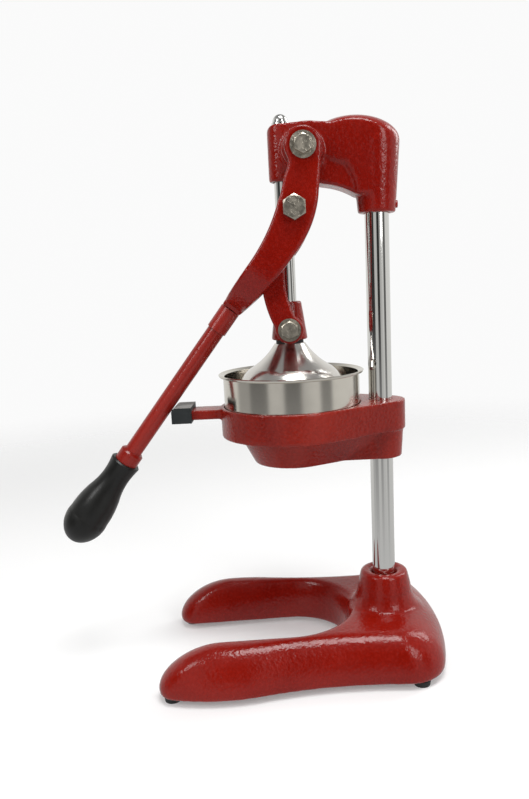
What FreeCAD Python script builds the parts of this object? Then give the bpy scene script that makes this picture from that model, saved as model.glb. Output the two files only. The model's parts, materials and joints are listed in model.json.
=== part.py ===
import FreeCAD, Part
import math
import os
import re
import Sketcher

# A hand lever juice press: horseshoe base, chromed column, head with a guided plunger rod,
# yoke lever with two links, and a cast arm that carries the steel cup.
# Millimetres. +X is the side of the bolt heads, -Y is the front, where the handle hangs, +Z is up.
# The origin lies on the table, under the middle of the whole press.
# Every body below is drawn about the column's axis unless its placement says otherwise.

SIZES = {
    # whole press
    "column_y": 114.0,
    "rod_y": -75.6,
    "running_gap": 0.05,
    # base casting: a horseshoe whose outline is a chain of tangent arcs
    "base_bottom": 5.0,
    "base_height": 44.0,
    "rear_y": 51.5,
    "rear_radius": 200.0,
    "heel_x": 44.0,
    "heel_radius": 34.0,
    "waist_y": -35.0,
    "waist_radius": 372.25,
    "side_x": -74.0,
    "side_radius": 160.0,
    "toe_y": -180.0,
    "toe_radius": 17.0,
    "gap_radius": 50.0,
    "gap_y": -85.0,
    "base_wall": 5.0,
    "cavity_top": 36.0,
    "cavity_lean": 3.0,
    "cavity_rear_pull": 5.0,
    "core_radius": 26.0,
    "core_bottom": 14.0,
    "core_wall": 4.0,
    "rib_width": 6.0,
    "boss_top": 75.0,
    "boss_top_radius": 20.6,
    "boss_waist": 60.0,
    "boss_waist_radius": 24.0,
    "boss_foot": 40.0,
    "boss_foot_radius": 34.0,
    "boss_sweep": 26.0,
    "boss_mouth_radius": 12.0,
    "boss_mouth_depth": 4.0,
    # feet
    "front_foot_x": 67.0,
    "front_foot_y": -184.0,
    "rear_foot_x": 66.0,
    "rear_foot_y": 21.0,
    "foot_radius": 7.5,
    "foot_height": 5.0,
    "foot_lean": 0.8,
    "foot_recess_radius": 4.4,
    "foot_recess_depth": 3.0,
    "post_radius": 7.5,
    "foot_screw_radius": 2.0,
    "foot_screw_head_radius": 3.8,
    "foot_screw_head": 2.0,
    "foot_screw_length": 12.0,
    # column and its bolt
    "column_radius": 10.0,
    "column_bottom": 24.0,
    "column_top": 440.0,
    "column_chamfer": 1.0,
    "column_tap_depth": 24.0,
    # head casting
    "head_front_radius": 11.1,
    "flank_top": 462.0,
    "flank_inset": 0.5,
    "head_bottom": 410.0,
    "head_top": 452.9,
    "head_corner": 3.0,
    "web_half_width": 13.5,
    "block_rear": -44.1,
    "block_step": 6.0,
    "arch_top_y": -43.0,
    "arch_top_z": 435.0,
    "arch_foot_y": -17.0,
    "arch_foot_z": 398.5,
    "arch_radius": 44.0,
    "web_front_z": 406.5,
    "web_rear_z": 397.5,
    "web_sweep": 60.0,
    "web_end_y": -8.0,
    "sleeve_bottom": 383.8,
    "sleeve_bottom_radius": 15.5,
    "sleeve_top": 440.0,
    "sleeve_top_radius": 19.6,
    "crown_y": -17.0,
    "crown_z": 438.4,
    "crown_height": 21.0,
    "crown_length": 37.0,
    "crown_half_width": 26.0,
    "crown_fall": 4.0,
    "crown_rise": 1.5,
    "side_boss_radius": 16.5,
    "side_boss_x": 27.2,
    # set screws of the head and of the arm
    "set_screw_radius": 3.0,
    "head_screw_z": 390.5,
    "arm_screw_z": 200.0,
    "head_screw_end": 17.1,
    "arm_screw_end": 18.4,
    "set_screw_socket": 1.5,
    "set_screw_socket_depth": 3.0,
    # pivots: the lever turns on the head, the links hang on the lever and carry the block
    "pivot_y": -59.6,
    "pivot_z": 431.7,
    "pin_y": -68.0,
    "pin_z": 386.7,
    "block_pin_z": 293.4,
    "pivot_bolt_radius": 4.0,
    "pin_bolt_radius": 5.0,
    # lever, drawn about the pivot with its stem straight down
    "stem_angle": 37.8,
    "stem_y": 23.6,
    "arm_inner_x": 27.5,
    "arm_outer_x": 38.0,
    "eye_radius": 14.5,
    "pin_boss_radius": 13.5,
    "neck_front_y": 1.0,
    "neck_front_z": -25.6,
    "neck_front_radius": 22.0,
    "below_pin_y": 8.5,
    "below_pin_z": 18.0,
    "fork_front_y": 16.5,
    "fork_front_z": -95.0,
    "fork_front_radius": 150.0,
    "fork_rear_y": 41.5,
    "fork_rear_z": -68.0,
    "fork_rear_radius": 245.0,
    "neck_rear_y": 31.8,
    "neck_rear_z": -24.0,
    "neck_rear_radius": 82.0,
    "fork_floor": -118.0,
    "fork_corner": 12.0,
    "shoulder_top": -92.0,
    "shoulder_radius": 40.35,
    "yoke_end": -135.0,
    "yoke_neck": 4.0,
    "stem_radius": 8.0,
    "stem_rear_radius": 8.7,
    "sleeve_end": -156.0,
    "lever_sleeve_radius": 8.4,
    "sleeve_lip": 0.3,
    "tube_radius": 7.3,
    "tube_inner_radius": 4.6,
    "spigot_radius": 6.0,
    "ferrule_start": -282.5,
    "ferrule_radius": 10.0,
    "ferrule_chamfer": 1.5,
    "grip_start": -293.5,
    "grip_end": -379.0,
    "grip_nose": 15.0,
    "nose_share": 0.75,
    "grip_belly": 17.6,
    "grip_belly_height": 27.0,
    "grip_belly_sweep": 26.0,
    "grip_neck": 14.2,
    "grip_neck_depth": 33.0,
    "grip_neck_sweep": 90.0,
    "grip_throat": 12.2,
    "grip_throat_depth": 6.0,
    "grip_throat_sweep": 60.0,
    "grip_collar": 12.9,
    "grip_collar_edge": 1.0,
    "tube_end": -350.0,
    "tube_start": -128.0,
    # links
    "link_inner_x": 19.0,
    "link_thickness": 8.0,
    "link_half_width": 9.2,
    "link_bow": 15.0,
    "link_top_eye": 12.5,
    "link_low_eye": 11.3,
    # hexagon heads, nuts and washers
    "small_hex": 13.0,
    "large_hex": 17.0,
    "small_head": 5.3,
    "large_head": 6.4,
    "small_nut": 6.5,
    "thin_nut": 5.6,
    "washer_radius": 10.0,
    "low_washer_radius": 9.2,
    "washer_thickness": 1.6,
    "core_washer_radius": 11.0,
    "bolt_hole_gap": 0.3,
    "bolt_point": 0.6,
    "bevel_start": 0.47,
    "bevel_reach": 0.6,
    "bevel_drop": 0.075,
    "thread_spare": 2.0,
    "cut_reach": 200.0,
    "side_gap": 0.1,
    # plunger
    "rod_radius": 7.0,
    "rod_dome": 6.2,
    "rod_top": 462.0,
    "rod_bottom": 292.0,
    "block_top": 315.7,
    "block_bottom": 284.0,
    "block_top_radius": 11.0,
    "block_bottom_radius": 15.0,
    "block_edge": 1.5,
    "block_ear_x": 18.7,
    "block_ear_radius": 9.0,
    "gasket_radius": 11.5,
    "cone_top": 281.0,
    "cone_thickness": 1.2,
    "cone_neck_radius": 13.0,
    "cone_slope_sweep": 60.0,
    "cone_slope_radius": 34.0,
    "cone_slope_z": 261.0,
    "cone_skirt_sweep": 34.0,
    "cone_skirt_radius": 46.5,
    "cone_skirt_z": 243.3,
    "cone_rim_radius": 48.5,
    "cone_rim_z": 234.0,
    "cone_washer_radius": 11.0,
    "cone_washer_thickness": 1.5,
    "cone_bolt_radius": 4.0,
    "cone_bolt_top": 304.0,
    # cup and strainer
    "cup_radius": 57.6,
    "cup_rim_radius": 61.4,
    "cup_rim_z": 257.5,
    "cup_wall": 1.0,
    "cup_floor_z": 213.0,
    "cup_corner": 3.0,
    "cup_lip": 1.9,
    "cup_lip_sweep": 3.4,
    "cup_drain_radius": 48.0,
    "cup_throat_radius": 17.0,
    "cup_throat_z": 193.0,
    "cup_spout_z": 186.0,
    "strainer_radius": 52.0,
    "strainer_top": 249.0,
    "strainer_cap": 17.0,
    "strainer_wall": 0.9,
    "strainer_heel_radius": 42.0,
    "strainer_heel_sweep": 7.0,
    "strainer_slope_radius": 37.0,
    "strainer_slope_z": 219.0,
    "strainer_cap_share": 0.7,
    # cast arm
    "ring_top": 230.0,
    "ring_bottom": 205.0,
    "ring_radius": 61.0,
    "ring_bore": 58.0,
    "ledge_z": 211.5,
    "ledge_radius": 50.0,
    "rear_boss_radius": 21.0,
    "rear_boss_foot_radius": 17.5,
    "arm_web_half_width": 16.9,
    "funnel_top_radius": 47.0,
    "funnel_bottom_radius": 34.0,
    "funnel_foot_radius": 22.0,
    "funnel_foot_y": 26.0,
    "funnel_head_radius": 19.0,
    "funnel_head_y": -8.0,
    "arm_bottom": 180.5,
    "funnel_bore_top": 40.0,
    "funnel_bore_bottom": 27.0,
    "tongue_half_width": 12.0,
    "tongue_bottom": 220.5,
    "tongue_top": 228.5,
    "tongue_front": -172.0,
    # rubber stop on the tongue
    "stop_half_width": 16.7,
    "stop_front": -176.6,
    "stop_rear": -160.2,
    "stop_bottom": 218.9,
    "stop_top": 232.0,
    "stop_corner": 3.5,
}

doc = FreeCAD.newDocument("JuicePress")
sheet = doc.addObject("Spreadsheet::Sheet", "Sizes")
for row, (size, number) in enumerate(SIZES.items(), start=1):
    sheet.set(f"A{row}", size)
    sheet.set(f"B{row}", str(number))
    sheet.setAlias(f"B{row}", size)
doc.recompute()


# ---------------------------------------------------------------- drawing helpers

def bound(text):
    """An expression in which every size is written as its cell of the sheet."""

    def cell(word):
        return "Sizes." + word[0] if word[0] in SIZES else word[0]

    return re.sub(r"[a-z][a-z0-9_]*", cell, str(text))


def value(text):
    """The number that an expression has now."""
    return float(sheet.evalExpression(bound(text)))


def placed_body(label, x, y, z, axis, angle):
    """A body at a point of the press, turned by `angle` degrees about `axis`."""
    body = doc.addObject("PartDesign::Body", label)
    body.Label = label
    place = (
        f"create(<<placement>>; create(<<vector>>; {x}; column_y + ({y}); {z});"
        f" create(<<rotation>>; create(<<vector>>; {axis}); {angle}))"
    )
    body.setExpression("Placement", bound(place))
    return body


def new_body(label, y="0", z="0", tilt="0"):
    """A body in the press's middle plane, turned by `tilt` degrees about X."""
    return placed_body(label, "0", y, z, "1; 0; 0", tilt)


def crosswise_body(label, y, z, side, seat):
    """A body on a pivot, its own +Z turned to +X (side 1) or -X (side -1), starting at `seat`."""
    return placed_body(label, f"{side} * ({seat})", y, z, "0; 1; 0", 90 * side)


def new_sketch(body, plane, offset="0"):
    """An empty sketch on one of the body's own origin planes, moved along its normal."""
    sketch = body.newObject("Sketcher::SketchObject", body.Label + "_sketch")
    support = [item for item in body.Origin.OriginFeatures if item.Role == plane + "_Plane"]
    sketch.AttachmentSupport = [(support[0], "")]
    sketch.MapMode = "FlatFace"
    sketch.setExpression("AttachmentOffset.Base.z", bound(offset))
    return sketch


def fix(sketch, kind, *where, size):
    """A dimension of the sketch, bound to an expression."""
    index = sketch.addConstraint(Sketcher.Constraint(kind, *where, value(size)))
    sketch.setExpression(f"Constraints[{index}]", bound(size))


def fix_point(sketch, geometry, position, x, y):
    """Both coordinates of one point of the sketch."""
    fix(sketch, "DistanceX", -1, 1, geometry, position, size=x)
    fix(sketch, "DistanceY", -1, 1, geometry, position, size=y)


def arc_between(start, end, radius, left):
    """The shorter arc from start to end that turns left or right."""
    chord = end - start
    rise = math.sqrt(max(radius**2 - (chord.Length / 2) ** 2, 0))
    side = FreeCAD.Vector(-chord.y, chord.x, 0).normalize() * (rise if left else -rise)
    centre = (start + end) / 2 + side
    first, last = (start, end) if left else (end, start)
    angles = [math.atan2(p.y - centre.y, p.x - centre.x) for p in (first, last)]
    return Part.ArcOfCircle(Part.Circle(centre, FreeCAD.Vector(0, 0, 1), radius), angles[0], angles[1])


def draw_loop(sketch, corners):
    """A closed outline. A corner is (x, y), or (x, y, radius, "left" or "right") if an arc leads to it."""
    points = [FreeCAD.Vector(value(corner[0]), value(corner[1]), 0) for corner in corners]
    ends = []
    for index, corner in enumerate(corners):
        start, end = points[index - 1], points[index]
        if len(corner) == 2:
            ends.append((sketch.addGeometry(Part.LineSegment(start, end), False), 1, 2))
            continue
        left = corner[3] == "left"
        arc = sketch.addGeometry(arc_between(start, end, value(corner[2]), left), False)
        ends.append((arc, 1, 2) if left else (arc, 2, 1))
        fix(sketch, "Radius", arc, size=corner[2])
    for index, (geometry, _, last) in enumerate(ends):
        following = ends[(index + 1) % len(ends)]
        sketch.addConstraint(Sketcher.Constraint("Coincident", geometry, last, following[0], following[1]))
        fix_point(sketch, geometry, last, corners[index][0], corners[index][1])


def draw_circle(sketch, x, y, radius):
    centre = FreeCAD.Vector(value(x), value(y), 0)
    circle = sketch.addGeometry(Part.Circle(centre, FreeCAD.Vector(0, 0, 1), value(radius)), False)
    fix_point(sketch, circle, 3, x, y)
    fix(sketch, "Radius", circle, size=radius)


def draw_hexagon(sketch, across):
    """A hexagon with two level corners about the origin, measured across its flats."""
    corners = []
    for angle in range(0, 360, 60):
        corners.append((f"{across} / sqrt(3) * cos({angle})", f"{across} / sqrt(3) * sin({angle})"))
    draw_loop(sketch, corners)


def loop_sketch(body, plane, corners, offset="0"):
    sketch = new_sketch(body, plane, offset)
    draw_loop(sketch, corners)
    return sketch


def circle_sketch(body, plane, circles, offset="0"):
    sketch = new_sketch(body, plane, offset)
    for x, y, radius in circles:
        draw_circle(sketch, x, y, radius)
    return sketch


def extrude(body, sketch, length, kind="Pad", both=False, back=False):
    """A pad or a pocket. A pocket has to take material away."""
    before = body.Shape.Volume if kind == "Pocket" else 0
    feature = body.newObject("PartDesign::" + kind, f"{body.Label}_{kind.lower()}")
    feature.Profile = sketch
    feature.setExpression("Length", bound(length))
    feature.Midplane = both
    feature.Reversed = back
    doc.recompute()
    if kind == "Pocket" and body.Shape.Volume > before - 0.1:
        raise RuntimeError(f"a pocket of {body.Label} cuts nothing")


def revolve(body, sketch, kind="Revolution"):
    """A full turn about the sketch's vertical axis. A groove has to take material away."""
    before = body.Shape.Volume if kind == "Groove" else 0
    feature = body.newObject("PartDesign::" + kind, f"{body.Label}_{kind.lower()}")
    feature.Profile = sketch
    feature.ReferenceAxis = (sketch, ["V_Axis"])
    feature.Angle = 360
    doc.recompute()
    if kind == "Groove" and body.Shape.Volume > before - 0.1:
        raise RuntimeError(f"a groove of {body.Label} cuts nothing")


def turned(label, corners, y="0", z="0", tilt="0"):
    """A body of revolution about its own vertical axis, from (radius, height) corners."""
    body = new_body(label, y, z, tilt)
    revolve(body, loop_sketch(body, "XZ", corners))


def mirror(body, feature):
    """The same feature again on the other side of the press's middle plane."""
    twin = body.newObject("PartDesign::Mirrored", body.Label + "_mirror")
    twin.Originals = [feature]
    support = [item for item in body.Origin.OriginFeatures if item.Role == "YZ_Plane"]
    twin.MirrorPlane = (support[0], [""])
    body.Tip = twin
    doc.recompute()


def round_edges(body, radius, wanted):
    """Rounds the edges whose middle point, in the body's own frame, is wanted."""
    tip = body.Tip
    names = []
    for index, edge in enumerate(tip.Shape.Edges, start=1):
        if wanted(edge.valueAt((edge.FirstParameter + edge.LastParameter) / 2)):
            names.append(f"Edge{index}")
    fillet = body.newObject("PartDesign::Fillet", body.Label + "_fillet")
    fillet.Base = (tip, names)
    fillet.setExpression("Radius", bound(radius))
    doc.recompute()


# ---------------------------------------------------------------- base casting

def touching(centre, reach, along_y):
    """The point right of `centre`, at height along_y, that lies `reach` away from it."""
    return centre[0] + math.sqrt(reach**2 - (along_y - centre[1]) ** 2)


def horseshoe_half(body, height, outer, inner, toe_shift, rear_pull):
    """Half of the base's outline at one height: five tangent arcs round a leg, and the gap's quarter.

    The outer arcs draw in by `outer` and the gap's arc widens by `inner`. The toe also draws back by
    `toe_shift` and the rear comes forward by `rear_pull`.
    """
    middle = f"(({outer}) + ({inner})) / 2"
    insets = [outer, outer, outer, outer, middle, inner]
    rear = (0, value(f"rear_y - rear_radius - ({rear_pull})"))
    heel_y = rear[1] + math.sqrt(value("rear_radius - heel_radius") ** 2 - value("heel_x") ** 2)
    heel = (value("heel_x"), heel_y)
    waist_reach = value("waist_radius + heel_radius")
    waist = (touching(heel, waist_reach, value("waist_y")), value("waist_y"))
    side_reach = value("waist_radius + side_radius")
    toe_reach = value(f"side_radius - ({outer}) - toe_radius + {middle}")
    side_x = value("side_x")
    side = (side_x, waist[1] - math.sqrt(side_reach**2 - (waist[0] - side_x) ** 2))
    toe_y = value(f"toe_y + ({toe_shift})")
    toe = (touching(side, toe_reach, toe_y), toe_y)
    gap = (0, value("gap_y"))
    centres = [rear, heel, waist, side, toe, gap]
    signs = [-1, -1, 1, -1, -1, 1]
    plain = [value(word + "_radius") for word in ("rear", "heel", "waist", "side", "toe", "gap")]
    radii = [radius + sign * value(inset) for radius, sign, inset in zip(plain, signs, insets)]

    def towards(one, other, reach):
        step = math.hypot(other[0] - one[0], other[1] - one[1])
        return (one[0] + (other[0] - one[0]) * reach / step, one[1] + (other[1] - one[1]) * reach / step)

    joints = [
        (0, rear[1] + radii[0]),
        towards(rear, heel, radii[0]),
        towards(heel, waist, radii[1]),
        towards(side, waist, radii[3]),
        towards(side, toe, radii[3]),
    ]
    across = (toe[0] - gap[0], toe[1] - gap[1])
    spread = math.hypot(*across)
    lean = math.atan2(across[1], across[0]) - math.asin((radii[4] + radii[5]) / spread)
    joints.append((toe[0] + radii[4] * math.sin(lean), toe[1] - radii[4] * math.cos(lean)))
    joints.append((gap[0] - radii[5] * math.sin(lean), gap[1] + radii[5] * math.cos(lean)))
    joints.append((0, gap[1] + radii[5]))

    sketch = new_sketch(body, "XY", height)
    axis = FreeCAD.Vector(0, 0, 1)
    pieces = []

    def angle(centre, point):
        return math.atan2(point[1] - centre[1], point[0] - centre[0])

    def add_arc(index, first, last, left):
        centre = FreeCAD.Vector(*centres[index], 0)
        low, high = (first, last) if left else (last, first)
        circle = Part.Circle(centre, axis, radii[index])
        arc = Part.ArcOfCircle(circle, angle(centres[index], low), angle(centres[index], high))
        geometry = sketch.addGeometry(arc, False)
        pieces.append((geometry, 1, 2) if left else (geometry, 2, 1))

    def add_line(first, last):
        line = Part.LineSegment(FreeCAD.Vector(*first, 0), FreeCAD.Vector(*last, 0))
        pieces.append((sketch.addGeometry(line, False), 1, 2))

    add_arc(0, joints[0], joints[1], False)
    add_arc(1, joints[1], joints[2], False)
    add_arc(2, joints[2], joints[3], True)
    add_arc(3, joints[3], joints[4], False)
    add_arc(4, joints[4], joints[5], False)
    add_line(joints[5], joints[6])
    add_arc(5, joints[6], joints[7], True)
    add_line(joints[7], joints[0])
    for index, (geometry, _, last) in enumerate(pieces):
        following = pieces[(index + 1) % len(pieces)]
        kind = "Coincident" if index >= 6 else "Tangent"
        sketch.addConstraint(Sketcher.Constraint(kind, geometry, last, following[0], following[1]))
    arcs = [pieces[index][0] for index in (0, 1, 2, 3, 4, 6)]
    words = ["rear", "heel", "waist", "side", "toe", "gap"]
    for geometry, word, sign, inset in zip(arcs, words, signs, insets):
        fix(sketch, "Radius", geometry, size=f"{word}_radius {'+' if sign > 0 else '-'} ({inset})")
    rear_arc, heel_arc, waist_arc, side_arc, toe_arc, gap_arc = arcs
    fix_point(sketch, rear_arc, 3, "0", f"rear_y - rear_radius - ({rear_pull})")
    fix_point(sketch, gap_arc, 3, "0", "gap_y")
    fix(sketch, "DistanceX", -1, 1, heel_arc, 3, size="heel_x")
    fix(sketch, "DistanceY", -1, 1, waist_arc, 3, size="waist_y")
    fix(sketch, "DistanceX", -1, 1, side_arc, 3, size="side_x")
    fix(sketch, "DistanceY", -1, 1, toe_arc, 3, size=f"toe_y + ({toe_shift})")
    seam = pieces[7][0]
    fix(sketch, "DistanceX", -1, 1, seam, 1, size="0")
    fix(sketch, "DistanceX", -1, 1, seam, 2, size="0")
    return sketch


def loft(body, sketches, kind="AdditiveLoft"):
    before = body.Shape.Volume if kind == "SubtractiveLoft" else 0
    feature = body.newObject("PartDesign::" + kind, f"{body.Label}_{kind.lower()}")
    feature.Profile = sketches[0]
    feature.Sections = sketches[1:]
    doc.recompute()
    if kind == "SubtractiveLoft" and body.Shape.Volume > before - 0.1:
        raise RuntimeError(f"a loft of {body.Label} cuts nothing")
    return feature


base = new_body("base_casting")
# Each level: height above the bottom edge as a share of the leg's height, how far the outer side, the
# gap's side and the toe draw back, and how far the rear comes forward. Together they round the top of the
# legs, widely outside and tightly towards the gap.
SKIN_LEVELS = [
    (0.0, 1.4, 1.4, 1.4, 0.0),
    (0.15, 0.5, 0.5, 1.0, 0.0),
    (0.35, 1.0, 0.5, 3.2, 0.5),
    (0.55, 2.9, 1.0, 8.0, 1.8),
    (0.73, 6.1, 2.0, 15.0, 4.2),
    (0.87, 10.4, 3.6, 23.0, 7.2),
    (0.96, 15.0, 5.4, 31.0, 9.6),
    (1.0, 18.8, 7.2, 37.0, 11.5),
]
skin = []
for share, *draws in SKIN_LEVELS:
    height = f"base_bottom + (base_height - base_bottom) * {share}"
    skin.append(horseshoe_half(base, height, *[str(draw) for draw in draws]))
mirror(base, loft(base, skin))

cavity = []
for height, lean in (("base_bottom", "0"), ("(base_bottom + cavity_top) / 2", "0.25"), ("cavity_top", "1")):
    outer = f"base_wall + 3 * cavity_lean * {lean}"
    inner = f"base_wall + cavity_lean * {lean}"
    toe_shift = f"base_wall + 6 * cavity_lean * {lean}"
    cavity.append(horseshoe_half(base, height, outer, inner, toe_shift, f"cavity_rear_pull * {lean}"))
mirror(base, loft(base, cavity, "SubtractiveLoft"))

boss = loop_sketch(
    base,
    "XZ",
    [
        ("0", "cavity_top - 1"),
        ("boss_foot_radius", "cavity_top - 1"),
        ("boss_foot_radius", "boss_foot"),
        ("boss_waist_radius", "boss_waist", "boss_sweep", "right"),
        ("boss_top_radius", "boss_top"),
        ("0", "boss_top"),
    ],
)
revolve(base, boss)
core_sketch = circle_sketch(base, "XY", [("0", "0", "core_radius")], "core_bottom")
extrude(base, core_sketch, "cavity_top - core_bottom + 1")
rib_sketch = loop_sketch(
    base,
    "YZ",
    [
        ("gap_y + gap_radius + base_wall - 1", "base_bottom"),
        ("rear_y - base_wall + 1", "base_bottom"),
        ("rear_y - base_wall - cavity_rear_pull - 3 * cavity_lean + 1", "cavity_top"),
        ("gap_y + gap_radius + base_wall + cavity_lean - 1", "cavity_top"),
    ],
)
extrude(base, rib_sketch, "rib_width", both=True)
feet_places = []
for side in ("-", ""):
    feet_places.append((f"{side}front_foot_x", "front_foot_y"))
    feet_places.append((f"{side}rear_foot_x", "rear_foot_y"))
posts = circle_sketch(base, "XY", [(x, y, "post_radius") for x, y in feet_places], "base_bottom")
extrude(base, posts, "foot_screw_length")
post_holes = circle_sketch(base, "XY", [(x, y, "foot_screw_radius") for x, y in feet_places], "base_bottom")
extrude(base, post_holes, "foot_screw_length - foot_recess_depth + 1", "Pocket", back=True)
hollow_core = circle_sketch(base, "XY", [("0", "0", "pin_bolt_radius + bolt_hole_gap")], "core_bottom")
extrude(base, hollow_core, "boss_top", "Pocket", back=True)
bore = circle_sketch(base, "XY", [("0", "0", "column_radius")], "column_bottom")
extrude(base, bore, "boss_top", "Pocket", back=True)
mouth = circle_sketch(base, "XY", [("0", "0", "boss_mouth_radius")], "boss_top")
extrude(base, mouth, "boss_mouth_depth", "Pocket")
well = circle_sketch(base, "XY", [("0", "0", "core_radius - core_wall")], "base_bottom")
extrude(base, well, "core_bottom - base_bottom", "Pocket", back=True)


# ---------------------------------------------------------------- fasteners

def add_hexagon(body, across, start, length):
    """A hexagonal block about the body's own axis."""
    sketch = new_sketch(body, "XY", start)
    draw_hexagon(sketch, across)
    extrude(body, sketch, length)


def break_corners(body, across, top):
    """A cone that takes the six corners off a hexagon's outer face."""
    bevel = [
        (f"{across} * bevel_start", top),
        (f"{across} * bevel_reach", top),
        (f"{across} * bevel_reach", f"{top} - {across} * bevel_drop"),
    ]
    revolve(body, loop_sketch(body, "XZ", bevel), "Groove")


def bolt(label, shank, across, head, length, y, z, side, seat):
    """A bolt along X. `seat` is where its head bears, `side` is 1 where the head looks to +X."""
    body = crosswise_body(label, y, z, side, seat)
    add_hexagon(body, across, "0", head)
    break_corners(body, across, head)
    stem = circle_sketch(body, "XY", [("0", "0", shank)], f"-({length})")
    extrude(body, stem, length)
    point = -value(length)
    round_edges(body, "bolt_point", lambda middle: abs(middle.z - point) < 0.01)
    return body


def washer(label, hole, rim, y, z, side, seat):
    """A flat ring on a pivot along X, from `seat` outwards."""
    body = crosswise_body(label, y, z, side, seat)
    ring = circle_sketch(body, "XY", [("0", "0", rim), ("0", "0", hole)])
    extrude(body, ring, "washer_thickness")
    return body


def nut(label, shank, across, thickness, y, z, side, seat):
    """A hexagon nut on a pivot along X, from `seat` outwards."""
    body = crosswise_body(label, y, z, side, seat)
    sketch = new_sketch(body, "XY")
    draw_hexagon(sketch, across)
    draw_circle(sketch, "0", "0", shank)
    extrude(body, sketch, thickness)
    break_corners(body, across, thickness)
    return body


# ---------------------------------------------------------------- feet and column

def group(label, members):
    """Identical pieces that share one node."""
    compound = doc.addObject("Part::Compound", label)
    compound.Label = label
    compound.Links = members


def foot_copies(label, corners):
    """The same turned piece under the four corners of the base."""
    members = []
    for index, (x, y) in enumerate(feet_places, start=1):
        body = placed_body(f"{label}_{index}", x, y, "0", "1; 0; 0", "0")
        revolve(body, loop_sketch(body, "XZ", corners))
        members.append(body)
    group(label, members)


foot_copies(
    "rubber_feet",
    [
        ("foot_recess_radius", "0"),
        ("foot_radius - foot_lean", "0"),
        ("foot_radius", "foot_height"),
        ("foot_screw_radius", "foot_height"),
        ("foot_screw_radius", "foot_recess_depth"),
        ("foot_recess_radius", "foot_recess_depth"),
    ],
)
foot_copies(
    "foot_screws",
    [
        ("0", "foot_recess_depth - foot_screw_head"),
        ("foot_screw_head_radius - 1", "foot_recess_depth - foot_screw_head"),
        ("foot_screw_head_radius", "foot_recess_depth - foot_screw_head + 1"),
        ("foot_screw_head_radius", "foot_recess_depth"),
        ("foot_screw_radius", "foot_recess_depth"),
        ("foot_screw_radius", "foot_screw_length"),
        ("0", "foot_screw_length"),
    ],
)
turned(
    "column",
    [
        ("pin_bolt_radius", "column_bottom"),
        ("column_radius - column_chamfer", "column_bottom"),
        ("column_radius", "column_bottom + column_chamfer"),
        ("column_radius", "column_top - column_chamfer"),
        ("column_radius - column_chamfer", "column_top"),
        ("0", "column_top"),
        ("0", "column_bottom + column_tap_depth"),
        ("pin_bolt_radius", "column_bottom + column_tap_depth"),
    ],
)
column_bolt = new_body("column_bolt", "0", "core_bottom - washer_thickness")
add_hexagon(column_bolt, "large_hex", "-large_head", "large_head")
shank = circle_sketch(column_bolt, "XY", [("0", "0", "pin_bolt_radius")])
grip_length = "column_bottom - core_bottom + washer_thickness"
extrude(column_bolt, shank, f"{grip_length} + column_tap_depth - 2 * thread_spare")
column_washer = new_body("column_washer", "0", "core_bottom - washer_thickness")
rims = [("0", "0", "core_washer_radius"), ("0", "0", "pin_bolt_radius + bolt_hole_gap")]
ring = circle_sketch(column_washer, "XY", rims)
extrude(column_washer, ring, "washer_thickness")


# ---------------------------------------------------------------- head casting

def hull(front, front_y, rear, rear_y):
    """The outline around two circles, one behind the other."""
    lean = f"asin(({front} - ({rear})) / ({rear_y} - ({front_y})))"
    return [
        ("0", f"{front_y} - ({front})", front, "left"),
        (f"({front}) * cos({lean})", f"{front_y} + ({front}) * sin({lean})", front, "left"),
        (f"({rear}) * cos({lean})", f"{rear_y} + ({rear}) * sin({lean})"),
        ("0", f"{rear_y} + ({rear})", rear, "left"),
        (f"-({rear}) * cos({lean})", f"{rear_y} + ({rear}) * sin({lean})", rear, "left"),
        (f"-({front}) * cos({lean})", f"{front_y} + ({front}) * sin({lean})"),
    ]


head = new_body("head_casting")
plate = loop_sketch(
    head,
    "YZ",
    [
        ("rod_y - head_front_radius - 1", "head_bottom"),
        ("block_rear", "head_bottom"),
        ("arch_top_y", "arch_top_z"),
        ("arch_foot_y", "arch_foot_z", "arch_radius", "right"),
        ("0", "arch_foot_z"),
        ("0", "head_top - crown_fall"),
        ("crown_y - crown_length", "head_top + crown_rise"),
        ("rod_y - head_front_radius + head_corner", "head_top"),
        ("rod_y - head_front_radius - 1", "head_top - head_corner - 1"),
    ],
)
extrude(head, plate, "2 * crown_half_width", both=True)
crown = head.newObject("PartDesign::AdditiveEllipsoid", "head_crown")
crown.setExpression("Radius1", bound("crown_height"))
crown.setExpression("Radius2", bound("crown_half_width"))
crown.setExpression("Radius3", bound("crown_length"))
crown.AttachmentSupport = [([item for item in head.Origin.OriginFeatures if item.Role == "XY_Plane"][0], "")]
crown.MapMode = "FlatFace"
crown.setExpression("AttachmentOffset.Base.y", bound("crown_y"))
crown.setExpression("AttachmentOffset.Base.z", bound("crown_z"))
doc.recompute()
# Plate and crown keep to the outline around the sleeve and the round front boss about the rod. Its rear
# leans outwards like the sleeve, just inside the sleeve's skin.
FLANK_FOOT = "(sleeve_bottom_radius - flank_inset)"
FLANK_HEAD = (
    "(sleeve_bottom_radius - flank_inset + (sleeve_top_radius - sleeve_bottom_radius)"
    " * (flank_top - sleeve_bottom) / (sleeve_top - sleeve_bottom))"
)
for side, turn, front_corner, rear_corner in (("", "left", 1, 2), ("-", "right", 5, 4)):
    outside = []
    for rear_radius, height in ((FLANK_FOOT, "sleeve_bottom - 1"), (FLANK_HEAD, "flank_top")):
        flank = hull("head_front_radius", "rod_y", rear_radius, "0")
        corners = [
            ("0", "rod_y - head_front_radius"),
            (*flank[front_corner][:2], "head_front_radius", turn),
            flank[rear_corner][:2],
            ("0", rear_radius, rear_radius, turn),
            ("0", "sleeve_top_radius + 4"),
            (f"{side}(crown_half_width + 1)", "sleeve_top_radius + 4"),
            (f"{side}(crown_half_width + 1)", "rod_y - head_front_radius - 1"),
            ("0", "rod_y - head_front_radius - 1"),
        ]
        outside.append(loop_sketch(head, "XY", corners, height))
    loft(head, outside, "SubtractiveLoft")
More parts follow.
